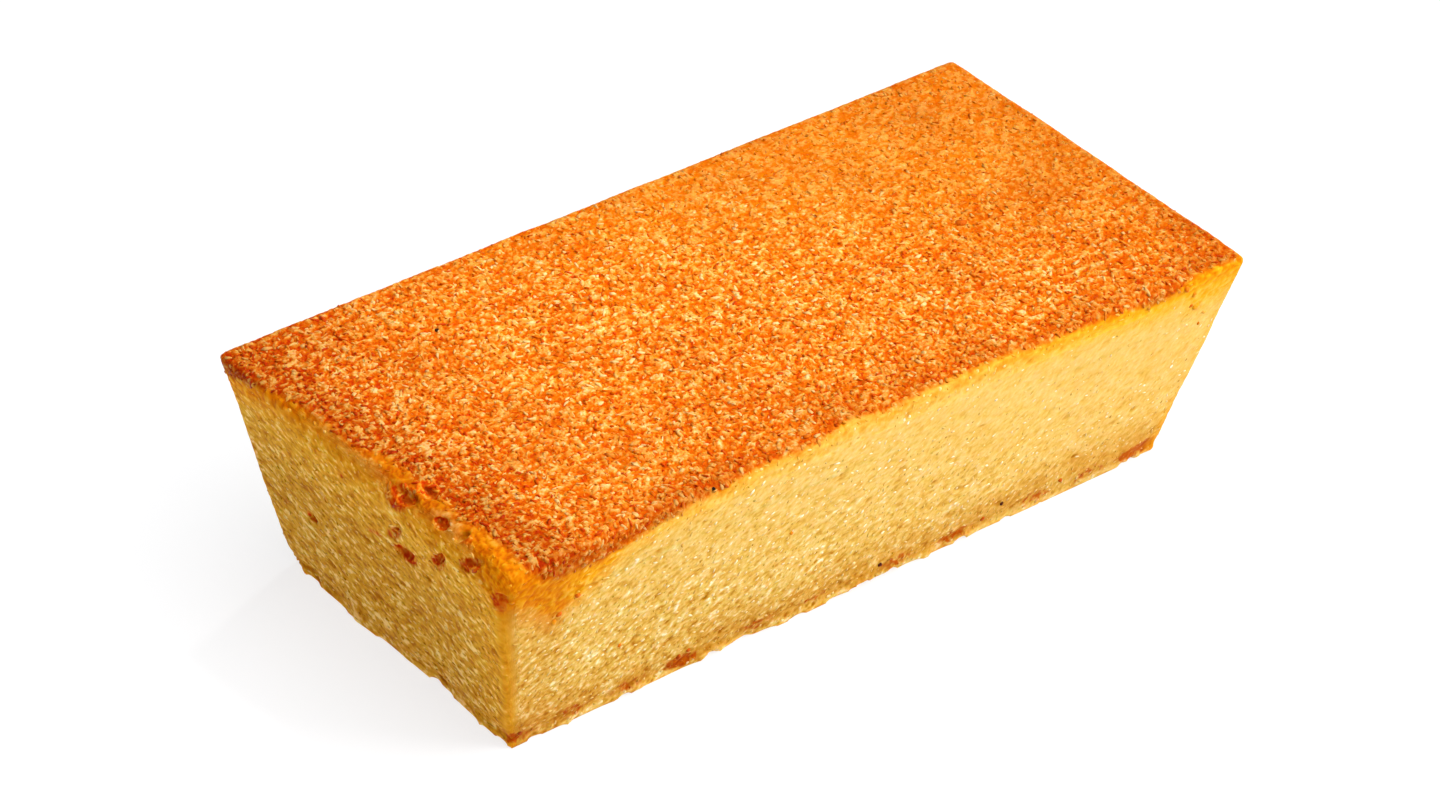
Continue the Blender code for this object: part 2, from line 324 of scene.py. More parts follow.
def browning_marks(mesh):
    """Mark each point with where it lies to the crust's edge and how the oven has browned it."""
    x, y, z = points_of(mesh)
    low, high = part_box(NODE)
    drop = 1.0 - z / high.z
    inside_left = x - (low.x + END_LEAN * drop)
    inside_right = (high.x - END_LEAN * drop) - x
    inside_front = y - (low.y + SIDE_LEAN * drop)
    inside_back = (high.y - SIDE_LEAN * drop) - y
    crust_reach = np.full(len(z), 1.0)
    amber_reach = np.full(len(z), 1.0)
    for inside, crust_line, amber_line, across in (
        (inside_front, FRONT_CRUST, FRONT_AMBER, x),
        (inside_back, BACK_CRUST, BACK_AMBER, x),
        (inside_left, LEFT_CRUST, LEFT_AMBER, y),
        (inside_right, RIGHT_CRUST, RIGHT_AMBER, y),
    ):
        reach = np.maximum(inside, 0.0) + (z - high.z) * smooth_step(inside, 1.6 * MM, 0.4 * MM)
        crust_reach = np.minimum(crust_reach, reach - along(crust_line, across))
        amber_reach = np.minimum(amber_reach, reach - along(amber_line, across))
    below = smooth_step(z, 8 * MM, 4 * MM)
    crust_reach = crust_reach * (1.0 - below) - FAR_BELOW * below
    amber_reach = amber_reach * (1.0 - below) - FAR_BELOW * below
    pits = np.zeros(len(z))
    for inset, across, up, deep, half_length, half_height, lean, brown in END_PITS:
        turn = math.radians(lean)
        from_y, from_z = y - across * MM, z - up * MM
        run = from_y * math.cos(turn) + from_z * math.sin(turn)
        rise = from_z * math.cos(turn) - from_y * math.sin(turn)
        away = np.hypot(np.hypot(run / (half_length * MM), rise / (half_height * MM)),
                        (inside_left - inset * MM) / (deep * MM))
        pits = np.maximum(pits, smooth_step(away, 1.6, 0.4) * brown * smooth_step(inside_front, 0.0, 0.4 * MM))

    # Browning: least in the middle, most at the far left corner, at the rim and where the end has sagged
    pale = np.exp(-((x - PALE_MIDDLE[0]) / PALE_REACH[0]) ** 2 - ((y - PALE_MIDDLE[1]) / PALE_REACH[1]) ** 2)
    corner = np.exp(-np.hypot(x - DARK_CORNER[0], y - DARK_CORNER[1]) / DARK_CORNER_REACH)
    rim = np.minimum(np.minimum(inside_left, inside_right), inside_back)
    from_left = smooth_step(crust_reach, DARK_LEFT, 0.0) * smooth_step(x, -38 * MM, -43 * MM)
    bake = 0.50 * (1.0 - pale) + 0.48 * smooth_step(x, -31 * MM, -50 * MM) + 0.55 * corner
    bake = bake + 0.15 * smooth_step(x, 20 * MM, 46 * MM) + 0.46 * from_left
    near_front = smooth_step(crust_reach, 7 * MM, 0.0) * smooth_step(y, -8 * MM, -16 * MM)
    bake = bake + (0.28 + 0.22 * smooth_step(crust_reach, -0.5 * MM, 0.8 * MM)) * near_front
    bake = bake + 0.24 * near_front * smooth_step(x, -12 * MM, -24 * MM) * smooth_step(crust_reach, 0, MM)
    sagged = np.exp(-((y - SAG_MIDDLE) / SAG_REACH) ** 2) * smooth_step(inside_left, 7 * MM, 2 * MM)
    bake = bake + 2.0 * sagged * smooth_step(crust_reach, 1.5 * MM, -0.5 * MM)
    # The end at -X: its crumb is painted browner, partly for its own colour and partly as painted shade
    end = smooth_step(inside_left, 1.6 * MM, 0.2 * MM)

    # Syrup that has soaked in below the crust, and down the edge at the front right
    rightward = smooth_step(x, -5 * MM, 36 * MM)
    soak = (0.62 + 0.36 * rightward) * smooth_step(crust_reach + 1.2 * MM * rightward, -3.6 * MM, 0.4 * MM)
    soak = np.maximum(soak, 0.60 * smooth_step(amber_reach, -2.2 * MM, 0.6 * MM))
    down_edge = 0.35 + 0.55 * smooth_step(z, 12 * MM, 2 * MM)
    edge_on = smooth_step(inside_right, 2.4 * MM, 0.2 * MM) * smooth_step(inside_front, 1.6 * MM, 0.4 * MM)
    soak = np.maximum(soak, edge_on * down_edge)
    soak = np.maximum(soak, 0.45 * smooth_step(z, 0.4 * MM, 0.1 * MM))
    soak = np.maximum(soak, 0.95 * sagged * smooth_step(crust_reach, -7.0 * MM, -3.0 * MM))

    # Contrast of light and dark: strong at the front left and low down, weak at the back and the right
    calm_top = smooth_step(0.6 * x + y, 0.0, 34 * MM)
    calm_side = smooth_step(0.5 * z / high.z + 0.5 * (x - low.x) / (high.x - low.x), 0.1, 0.9)
    on_side = smooth_step(z, high.z - 0.4 * MM, high.z - 2.4 * MM)
    contrast = (1.05 - 0.5 * calm_top + 0.5 * smooth_step(x, -34 * MM, -46 * MM)) * (1.0 - on_side)
    contrast = contrast + (1.75 - 1.35 * calm_side) * on_side
    contrast = contrast + END_CONTRAST * end * on_side
    contrast = contrast + RIGHT_CONTRAST * smooth_step(inside_right, 0.8 * MM, 0.2 * MM) * on_side

    bare = smooth_step(np.minimum(inside_right, inside_back), 1.0 * MM, 0.6 * MM)
    bare = np.maximum(bare, smooth_step(np.hypot(inside_left, inside_front), 1.5 * MM, 0.7 * MM))
    smears = np.zeros(len(z))
    for middle, half_length, height, strength in FOOT_SMEARS:
        away = np.hypot((x - middle * MM) / (half_length * MM), (z - height * MM) / (0.9 * MM))
        smears = np.maximum(smears, strength * smooth_step(away, 1.5, 0.3) * smooth_step(inside_front, 2 * MM, MM))
    mark(mesh, "crust_reach", crust_reach)
    mark(mesh, "amber_reach", amber_reach)
    mark(mesh, "pit_reach", pits)
    mark(mesh, "bake", bake + 0.25 * smooth_step(rim, DARK_RIM, 0.0))
    mark(mesh, "end", end)
    mark(mesh, "soak", soak)
    mark(mesh, "contrast", contrast * (1.0 - 0.5 * bare * on_side))
    # The calm mark also sets painted light: the sides' crumb lighter towards the top and the right
    mark(mesh, "calm", calm_side * on_side + calm_top * (1.0 - on_side))
    mark(mesh, "smear", smears)
    mark(mesh, "bare", bare)


# Relief of the crust: rough crags, the bits between them, and how ragged the crust's edge is
CRAG_SIZE = 2.4 * MM
CRAG_HEIGHT = 0.24 * MM
BIT_SIZE = 0.95 * MM
BIT_HEIGHT = 0.30 * MM
EDGE_RAGGED = 0.5 * MM
EDGE_GRAIN = 1.3 * MM
EDGE_SOFTNESS = 0.55 * MM

# Relief of the crumb: low swells, streaks that the knife has drawn on each side, and pores
SWELL_SIZE = 3.6 * MM
SWELL_HEIGHT = 0.14 * MM
STREAK_SIZE = 0.70 * MM
STREAK_HEIGHT = 0.20 * MM
LONG_SIDE_DRAW = 0.60
END_DRAW = 0.42
LONG_SIDE_STREAKS = (0.91, 0.0, 0.415)
END_STREAKS = (0.0, 0.97, 0.243)
PORE_SPACING = 1.9 * MM
PORE_SHARE = 0.22
PORE_DEPTH = 0.26 * MM
REST_CLEARANCE = 0.5 * MM


def named(tree, name):
    """A mark of the mesh, in geometry nodes."""
    return add_node(tree, "GeometryNodeInputNamedAttribute", {"Name": name}, data_type="FLOAT").outputs[0]


def stretched(tree, place, direction, share):
    """Places pressed together along a direction, so that a pattern there is drawn out along it."""
    along_it = add_node(tree, "ShaderNodeVectorMath", {0: place, 1: direction}, operation="DOT_PRODUCT")
    back = sum_of(tree, "MULTIPLY", along_it.outputs["Value"], share - 1.0)
    shift = add_node(tree, "ShaderNodeVectorMath", {0: direction, "Scale": back}, operation="SCALE")
    moved = add_node(tree, "ShaderNodeVectorMath", {0: place, 1: shift.outputs[0]}, operation="ADD")
    return moved.outputs[0]


def relief_tree():
    """Geometry nodes that raise the relief of a marked skin and mark how high each point stands."""
    tree = bpy.data.node_groups.new("baked_relief", "GeometryNodeTree")
    tree.interface.new_socket("Geometry", in_out="INPUT", socket_type="NodeSocketGeometry")
    for name in ("Crag Size", "Crag Height", "Bit Size", "Bit Height", "Edge Ragged", "Edge Grain", "Edge Softness",
                 "Swell Size", "Swell Height", "Streak Size", "Streak Height", "Pore Spacing", "Pore Share",
                 "Pore Depth", "Clearance"):
        tree.interface.new_socket(name, in_out="INPUT", socket_type="NodeSocketFloat")
    tree.interface.new_socket("Geometry", in_out="OUTPUT", socket_type="NodeSocketGeometry")
    given = add_node(tree, "NodeGroupInput").outputs
    place = add_node(tree, "GeometryNodeInputPosition").outputs[0]
    normal = add_node(tree, "GeometryNodeInputNormal").outputs[0]

    def product(*values):
        """Values or outputs multiplied together."""
        result = values[0]
        for value in values[1:]:
            result = sum_of(tree, "MULTIPLY", result, value)
        return result

    def total(*values):
        """Values or outputs added together."""
        result = values[0]
        for value in values[1:]:
            result = sum_of(tree, "ADD", result, value)
        return result

    def mixed(share, without, full):
        """One number where the share is 0, another where it is 1."""
        return add_node(tree, "ShaderNodeMix", {0: share, 2: without, 3: full}, data_type="FLOAT").outputs[0]

    # How much of a point is crust, how much is soaked amber and how much is browned pit, with the
    # edges of all three ragged and broken up bit by bit
    broad = total(noise(tree, place, given["Crag Size"], 2.0), -0.5)
    bits = noise(tree, place, given["Bit Size"], 1.0)
    broken = total(product(broad, given["Edge Ragged"], 2.5), product(total(bits, -0.5), given["Edge Grain"]))
    low = product(given["Edge Softness"], -1.0)
    crust = eased(tree, total(named(tree, "crust_reach"), broken), low, given["Edge Softness"])
    soaking = total(named(tree, "amber_reach"), product(broken, 1.5))
    amber = eased(tree, soaking, low, product(given["Edge Softness"], 3.0))
    browned = total(named(tree, "pit_reach"), product(total(bits, -0.5), 0.9))
    pit = eased(tree, browned, 0.36, 0.54)
    # A painted shadow slot: the browner middle of a pit painted dark for the shade in its hole
    shadow_slot = eased(tree, browned, 0.78, 1.02)

    # Bits of the crust: lumps between dark gaps that wind among them, on broader crags
    off_gap = sum_of(tree, "ABSOLUTE", total(bits, -0.5))
    finer = noise(tree, place, product(given["Bit Size"], 0.62))
    lumps = total(product(eased(tree, off_gap, 0.0, 0.14), 0.55), product(finer, 0.45))
    crust_rise = total(product(total(lumps, -0.6), given["Bit Height"]), product(broad, given["Crag Height"]))

    # Crumb: streaks that run another way on the ends than on the long sides, swells and pores
    facing = add_node(tree, "ShaderNodeSeparateXYZ", {0: normal}).outputs
    on_end = sum_of(tree, "GREATER_THAN", sum_of(tree, "ABSOLUTE", facing[0]), sum_of(tree, "ABSOLUTE", facing[1]))
    drawn = add_node(tree, "ShaderNodeMix", {
        0: on_end,
        4: stretched(tree, place, LONG_SIDE_STREAKS, LONG_SIDE_DRAW),
        5: stretched(tree, place, END_STREAKS, END_DRAW),
    }, data_type="VECTOR").outputs[1]
    streaks = noise(tree, drawn, given["Streak Size"], 1.0)
    swells = total(noise(tree, place, given["Swell Size"], 1.0), -0.5)
    cells = add_node(tree, "ShaderNodeTexVoronoi", {
        "Vector": drawn, "Scale": sum_of(tree, "DIVIDE", 1.0, given["Pore Spacing"]),
    }).outputs
    lot = add_node(tree, "ShaderNodeSeparateXYZ", {0: cells["Color"]}).outputs[0]
    pores = eased(tree, cells["Distance"], product(given["Pore Share"], total(lot, 0.35)), 0.0)
    crumb_rise = total(product(total(streaks, -0.5), given["Streak Height"]),
                       product(swells, given["Swell Height"]),
                       product(pores, given["Pore Depth"], -1.0))
    crumb_look = total(product(total(streaks, -0.5), 0.8), 0.54, product(pores, -0.6))

    crusted = sum_of(tree, "MAXIMUM", crust, pit)
    rough = sum_of(tree, "MAXIMUM", crusted, product(amber, 0.8))
    firm = product(total(product(named(tree, "bare"), -0.6), 1.0), total(product(named(tree, "calm"), -0.4), 1.0))
    rise = product(mixed(rough, crumb_rise, crust_rise), firm, sum_of(
        tree, "DIVIDE", add_node(tree, "ShaderNodeSeparateXYZ", {0: place}).outputs[2], given["Clearance"], clamp=True))
    shift = add_node(tree, "ShaderNodeVectorMath", {0: normal, "Scale": rise}, operation="SCALE").outputs[0]
    marked_skin = given["Geometry"]
    # The relief mark sets the tone: the crust's lumps lighter, the gaps between them and the crumb's pores darker,
    # partly the cake's own colour and partly painted shade in the hollows
    for name, value in (("crust", crusted), ("amber", amber), ("pit", pit), ("shadow_slot", shadow_slot),
                        ("relief", mixed(rough, crumb_look, lumps))):
        marked_skin = add_node(tree, "GeometryNodeStoreNamedAttribute", {
            "Geometry": marked_skin, "Name": name, "Value": value,
        }, data_type="FLOAT", domain="POINT").outputs[0]
    moved = add_node(tree, "GeometryNodeSetPosition", {"Geometry": marked_skin, "Offset": shift})
    add_node(tree, "NodeGroupOutput", {"Geometry": moved.outputs[0]})
    return tree


def use_tree(thing, tree, values):
    """Put a geometry nodes tree on an object, with its inputs set by their names."""
    maker = thing.modifiers.new(tree.name, "NODES")
    maker.node_group = tree
    for socket in tree.interface.items_tree:
        if socket.in_out == "INPUT" and socket.name in values:
            maker[socket.identifier] = values[socket.name]


def keep_part(skin, height, above):
    """Cut a skin level and keep the closed part above or below the cut."""
    net = bmesh.new()
    net.from_mesh(skin.data)
    cut = bmesh.ops.bisect_plane(net, geom=net.verts[:] + net.edges[:] + net.faces[:],
                                 plane_co=(0.0, 0.0, height), plane_no=(0.0, 0.0, 1.0),
                                 clear_inner=above, clear_outer=not above)
    rim = [item for item in cut["geom_cut"] if isinstance(item, bmesh.types.BMEdge)]
    filled = bmesh.ops.triangle_fill(net, edges=rim, use_beauty=False)["geom"]
    for item in filled:
        if isinstance(item, bmesh.types.BMFace):
            item.smooth = False
    for edge in rim:
        edge.smooth = False
    bmesh.ops.recalc_face_normals(net, faces=net.faces)
    net.to_mesh(skin.data)
    net.free()


# Colours of the cake from its darkest bits to its lightest: raw crumb, crumb soaked amber, crust, and the
# crumb of the ends, browner partly in its own colour and partly as painted shade
CRUMB_COLOURS = ((0.42, 0.160, 0.002, 1), (0.65, 0.375, 0.056, 1), (0.74, 0.50, 0.150, 1), (0.92, 0.80, 0.50, 1))
AMBER_COLOURS = ((0.54, 0.11, 0.000, 1), (0.76, 0.275, 0.001, 1), (0.87, 0.44, 0.010, 1), (0.95, 0.66, 0.16, 1))
CRUST_COLOURS = ((0.58, 0.045, 0.000, 1), (0.72, 0.155, 0.001, 1), (0.79, 0.33, 0.048, 1), (0.91, 0.61, 0.25, 1))
END_COLOURS_WITH_PAINTED_SHADE = ((0.42, 0.145, 0.000, 1), (0.61, 0.300, 0.008, 1), (0.71, 0.40, 0.036, 1), (0.92, 0.66, 0.26, 1))
TONE_STOPS = (0.0, 0.42, 0.72, 1.0)
END_TOP_PAINTED_LIGHT = (1.22, 1.17, 1.0, 1)
CALM_CRUST_TINT = (0.90, 0.98, 1.15, 1)
CALM_PAINTED_LIGHT_TINT = (1.19, 1.22, 1.56, 1)
BAKE_TINT = (0.62, 0.44, 0.24, 1)
AMBER_BAKE_TINT = (0.74, 0.51, 0.12, 1)
AMBER_END_PAINTED_LIGHT = (1.20, 1.24, 1.1, 1)
SAG_TINT = (0.82, 0.69, 0.48, 1)
DEEP_BAKE = 1.9
CRUMB_BAKE_TINT = (0.90, 0.78, 0.60, 1)
PIT_TINT = (0.84, 0.50, 0.10, 1)
# Painted shadow for the slots of the pits
SHADOW_SLOT_COLOUR = (0.40, 0.055, 0.001, 1)
FOOT_BROWN_AND_SHADE_TINT = (0.82, 0.64, 0.34, 1)
SMEAR_TINT = (0.70, 0.24, 0.0, 1)
CLUMP_SIZE = 1.1 * MM
MIDDLE_TONE = 0.5
FOOT_TOP = 8.5 * MM
LIP_HEIGHT = 1.3 * MM


def tone_ramp(tree, tone, colours):
    """Colour from the darkest to the lightest as tone goes from 0 to 1."""
    ramp = add_node(tree, "ShaderNodeValToRGB", {0: tone})
    stops = ramp.color_ramp.elements
    stops.remove(stops[1])
    stops[0].color = colours[0]
    for position, colour in zip(TONE_STOPS[1:], colours[1:]):
        stops.new(position).color = colour
    return ramp.outputs[0]


def tinted(tree, colour, share, tint):
    """A colour multiplied by a tint for a share of 0 to 1."""
    made = add_node(tree, "ShaderNodeMix", {0: share, 6: colour, 7: tint}, data_type="RGBA", blend_type="MULTIPLY")
    return made.outputs[2]


def baked_colour_group():
    """Shader group: tone of the bit and the marks of its place in, colour out."""
    tree = bpy.data.node_groups.new("baked_colour", "ShaderNodeTree")
    for name in ("Tone", "Contrast", "Crust", "Amber", "Soak", "Pit", "Shadow Slot", "Bake", "End", "Calm", "Smear"):
        tree.interface.new_socket(name, in_out="INPUT", socket_type="NodeSocketFloat")
    tree.interface.new_socket("Place", in_out="INPUT", socket_type="NodeSocketVector")
    tree.interface.new_socket("Color", in_out="OUTPUT", socket_type="NodeSocketColor")
    given = add_node(tree, "NodeGroupInput").outputs
    up = add_node(tree, "ShaderNodeSeparateXYZ", {0: given["Place"]}).outputs[2]
    spots = noise(tree, given["Place"], 0.7 * MM, 1.0)
    patches = noise(tree, given["Place"], 7.0 * MM, 2.0)

    # Light and dark lie closer together where the cake is calm, farther apart on its ends
    clumps = sum_of(tree, "SUBTRACT", noise(tree, given["Place"], CLUMP_SIZE, 2.0), 0.5)
    swing = sum_of(tree, "MULTIPLY", sum_of(tree, "SUBTRACT", given["Tone"], MIDDLE_TONE), given["Contrast"])
    coarse = sum_of(tree, "MULTIPLY", sum_of(tree, "SUBTRACT", given["Contrast"], 0.8, clamp=True), 1.1)
    swing = sum_of(tree, "ADD", swing, sum_of(tree, "MULTIPLY", sum_of(tree, "SUBTRACT", spots, 0.5), coarse))
    tone = sum_of(tree, "ADD", swing, MIDDLE_TONE, clamp=True)
    clump_swing = sum_of(tree, "MULTIPLY", clumps, sum_of(tree, "ADD", sum_of(tree, "MULTIPLY", given["Contrast"], 0.3), 0.1))
    clumped = sum_of(tree, "ADD", tone, clump_swing, clamp=True)
    over_half = sum_of(tree, "SUBTRACT", given["Bake"], 0.5, clamp=True)

    crumb = tone_ramp(tree, tone, CRUMB_COLOURS)
    # The ends' crumb: browner and warmer, partly its own colour and partly painted shade
    end = tone_ramp(tree, tone, END_COLOURS_WITH_PAINTED_SHADE)
    # Painted light: the end at -X lighter towards its top and its front, where more light falls
    across = add_node(tree, "ShaderNodeSeparateXYZ", {0: given["Place"]}).outputs[1]
    painted_light_share = sum_of(tree, "MAXIMUM", eased(tree, up, 13 * MM, 25 * MM), eased(tree, across, -12 * MM, -23 * MM))
    end = tinted(tree, end, painted_light_share, END_TOP_PAINTED_LIGHT)
    crumb = add_node(tree, "ShaderNodeMix", {0: given["End"], 6: crumb, 7: end}, data_type="RGBA").outputs[2]
    # Painted light: the crumb of the sides lighter and paler towards the top and the right
    crumb = tinted(tree, crumb, given["Calm"], CALM_PAINTED_LIGHT_TINT)
    crumb = tinted(tree, crumb, over_half, CRUMB_BAKE_TINT)
    # Darker towards the foot in patches: partly the browned foot and partly painted shade low on the sides
    foot_brown_and_shade = sum_of(tree, "MULTIPLY", eased(tree, up, FOOT_TOP, LIP_HEIGHT), eased(tree, up, 0.5 * MM, LIP_HEIGHT))
    foot_brown_and_shade = sum_of(tree, "MULTIPLY", foot_brown_and_shade, eased(tree, patches, 0.15, 0.55))
    foot_brown_and_shade = sum_of(tree, "SUBTRACT", foot_brown_and_shade, sum_of(tree, "MULTIPLY", given["End"], 0.6), clamp=True)
    crumb = tinted(tree, crumb, foot_brown_and_shade, FOOT_BROWN_AND_SHADE_TINT)
    dotted = sum_of(tree, "ADD", given["Smear"], sum_of(tree, "MULTIPLY", sum_of(tree, "SUBTRACT", spots, 0.5), 3.2))
    smeared = sum_of(tree, "MULTIPLY", eased(tree, dotted, 0.15, 1.05), eased(tree, given["Smear"], 0.0, 0.4))
    crumb = tinted(tree, crumb, smeared, SMEAR_TINT)

    golden = sum_of(tree, "MULTIPLY", given["Calm"], 0.24)
    even = sum_of(tree, "ADD", sum_of(tree, "MULTIPLY", tone, 0.7), 0.17)
    amber = tone_ramp(tree, sum_of(tree, "ADD", even, golden, clamp=True), AMBER_COLOURS)
    crust = tinted(tree, tone_ramp(tree, clumped, CRUST_COLOURS), given["Calm"], CALM_CRUST_TINT)
    uneven = sum_of(tree, "MULTIPLY", sum_of(tree, "SUBTRACT", patches, 0.5), 1.2)
    off_pit = sum_of(tree, "SUBTRACT", 1.0, given["Pit"])
    browned = sum_of(tree, "MULTIPLY", sum_of(tree, "ADD", given["Bake"], uneven), 0.72, clamp=True)
    baked = sum_of(tree, "MULTIPLY", browned, off_pit)
    crust = tinted(tree, crust, baked, BAKE_TINT)
    crust = tinted(tree, crust, given["Pit"], PIT_TINT)
    # Painted shadow: the slots of the pits dark
    crust = add_node(tree, "ShaderNodeMix", {0: given["Shadow Slot"], 6: crust, 7: SHADOW_SLOT_COLOUR}, data_type="RGBA").outputs[2]
    amber = tinted(tree, amber, over_half, AMBER_BAKE_TINT)
    deep = sum_of(tree, "SUBTRACT", given["Bake"], DEEP_BAKE, clamp=True)
    deep = sum_of(tree, "MULTIPLY", deep, sum_of(tree, "SUBTRACT", 1.0, given["End"]))
    amber = tinted(tree, amber, deep, SAG_TINT)
    # Painted light: the amber on the end at -X brighter, lifted out of the end's shade
    amber = tinted(tree, amber, given["End"], AMBER_END_PAINTED_LIGHT)
    soaked_share = sum_of(tree, "MAXIMUM", given["Amber"], given["Soak"])
    soaked = add_node(tree, "ShaderNodeMix", {0: soaked_share, 6: crumb, 7: amber}, data_type="RGBA").outputs[2]
    whole = add_node(tree, "ShaderNodeMix", {0: given["Crust"], 6: soaked, 7: crust}, data_type="RGBA").outputs[2]
    add_node(tree, "NodeGroupOutput", {"Color": whole})
    return tree


BAKED_COLOUR = baked_colour_group()


def marked(tree, name):
    """A mark of the mesh, in a material."""
    return add_node(tree, "ShaderNodeAttribute", attribute_name=name).outputs["Fac"]


def baked_colour(tree, tone, contrast, place):
    """The cake's colour for a tone, at a place with its marks."""
    return add_node(tree, "ShaderNodeGroup", {
        "Tone": tone,
        "Contrast": contrast,
        "Crust": marked(tree, "crust"),
        "Amber": marked(tree, "amber"),
        "Soak": marked(tree, "soak"),
        "Pit": marked(tree, "pit"),
        "Shadow Slot": marked(tree, "shadow_slot"),
        "Bake": marked(tree, "bake"),
        "End": marked(tree, "end"),
        "Calm": marked(tree, "calm"),
        "Smear": marked(tree, "smear"),
        "Place": place,
    }, node_tree=BAKED_COLOUR).outputs[0]


# Finest detail of the finish: bits of the crust, and threads of the crumb along the cut
FINE_BITS = 0.34 * MM
FINE_STREAKS = 0.42 * MM
LONG_SIDE_STRETCH = 0.62
END_STRETCH = 0.42
PATCH_SIZE = 1.2 * MM

# The syrup makes the crumb let light through, red farthest, and warms its shine
GLOW_RADIUS = (1.0, 0.40, 0.12)
GLOW_DEPTH = 0.35 * MM
SHINE_TINT = (1.0, 0.72, 0.32, 1.0)


def cake_material():
    """The cake itself, between and under its loose grains."""
    material = bpy.data.materials.new("basbousa_cake")
    material.use_nodes = True
    tree = material.node_tree
    shader = tree.nodes["Principled BSDF"]
    place = add_node(tree, "ShaderNodeTexCoord").outputs["Object"]
    drawn = add_node(tree, "ShaderNodeMix", {
        0: marked(tree, "end"),
        4: stretched(tree, place, LONG_SIDE_STREAKS, LONG_SIDE_STRETCH),
        5: stretched(tree, place, END_STREAKS, END_STRETCH),
    }, data_type="VECTOR").outputs[1]
    streaks = noise(tree, drawn, FINE_STREAKS, 1.0)
    bits = noise(tree, place, FINE_BITS, 1.0)
    fine = add_node(tree, "ShaderNodeMix", {0: marked(tree, "crust"), 2: streaks, 3: bits}, data_type="FLOAT").outputs[0]
    patch = noise(tree, drawn, PATCH_SIZE, 2.0)
    # Tone from the relief mark: darker in the hollows, partly own colour and partly painted shade
    tone = sum_of(tree, "MULTIPLY", marked(tree, "relief"), 0.95)
    tone = sum_of(tree, "ADD", tone, sum_of(tree, "MULTIPLY", sum_of(tree, "SUBTRACT", fine, 0.5), 0.7))
    tone = sum_of(tree, "ADD", tone, sum_of(tree, "MULTIPLY", sum_of(tree, "SUBTRACT", patch, 0.5), 0.35), clamp=True)
    tree.links.new(baked_colour(tree, tone, marked(tree, "contrast"), place), shader.inputs["Base Color"])
    bump = add_node(tree, "ShaderNodeBump", {"Height": fine, "Distance": 0.10 * MM, "Strength": 1.0}).outputs[0]
    tree.links.new(bump, shader.inputs["Normal"])
    shader.inputs["Roughness"].default_value = 0.55
    shader.inputs["Specular IOR Level"].default_value = 0.03
    shader.inputs["Specular Tint"].default_value = SHINE_TINT
    shader.inputs["Subsurface Weight"].default_value = 1.0
    shader.inputs["Subsurface Radius"].default_value = GLOW_RADIUS
    shader.inputs["Subsurface Scale"].default_value = GLOW_DEPTH
    return material


RELIEF_TREE = relief_tree()
CAKE_FINISH = cake_material()


def cake_part(name, step, above):
    """The part of the cake above or below the level cut, with its relief and finish."""
    part = fine_skin(name, step)
    browning_marks(part.data)
    spread_foot(part.data)
    round_edges(part.data)
    use_tree(part, RELIEF_TREE, {
        "Crag Size": CRAG_SIZE,
        "Crag Height": CRAG_HEIGHT,
        "Bit Size": BIT_SIZE,
        "Bit Height": BIT_HEIGHT,
        "Edge Ragged": EDGE_RAGGED,
        "Edge Grain": EDGE_GRAIN,
        "Edge Softness": EDGE_SOFTNESS,
        "Swell Size": SWELL_SIZE,
        "Swell Height": SWELL_HEIGHT,
        "Streak Size": STREAK_SIZE,
        "Streak Height": STREAK_HEIGHT,
        "Pore Spacing": PORE_SPACING,
        "Pore Share": PORE_SHARE,
        "Pore Depth": PORE_DEPTH,
        "Clearance": REST_CLEARANCE,
    })
    settle(part)
    keep_part(part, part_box(NODE)[1].z - CRUST_PART_DEPTH, above)
    part.data.materials.clear()
    part.data.materials.append(CAKE_FINISH)
    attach(part, BODY)
    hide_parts(NODE)
    return part


crust_part = cake_part("basbousa_crust", CRUST_NET, True)
crumb_part = cake_part("basbousa_crumb", CRUMB_NET, False)


# Grains of the crust
# Swollen grains of semolina that the oven has dried and coloured, and finer flakes of them between.
# Each is a small closed lump, half sunk in the crust, and its kind is how far it has browned; the palest
# flakes also stand for glints of the syrup, as painted highlights.

GRAIN_SPACING = 1.15 * MM
GRAIN_LENGTH = (0.26 * MM, 0.46 * MM)
GRAIN_WIDTH = (0.15 * MM, 0.26 * MM)
GRAIN_SINK = 0.08 * MM
FLAKE_SPACING = 0.72 * MM
FLAKE_LENGTH = (0.32 * MM, 0.74 * MM)
FLAKE_WIDTH = (0.17 * MM, 0.27 * MM)
FLAKE_SINK = 0.085 * MM
LUMPINESS = 0.10 * MM
CRUST_SEED = 7


def drawn_along(tree, normal):
    """Direction in which the knife has drawn the crumb out, by the side that a point lies on."""
    facing = add_node(tree, "ShaderNodeSeparateXYZ", {0: normal}).outputs
    on_end = sum_of(tree, "GREATER_THAN", sum_of(tree, "ABSOLUTE", facing[0]), sum_of(tree, "ABSOLUTE", facing[1]))
    return add_node(tree, "ShaderNodeMix", {0: on_end, 4: LONG_SIDE_STREAKS, 5: END_STREAKS},
                    data_type="VECTOR").outputs[1]


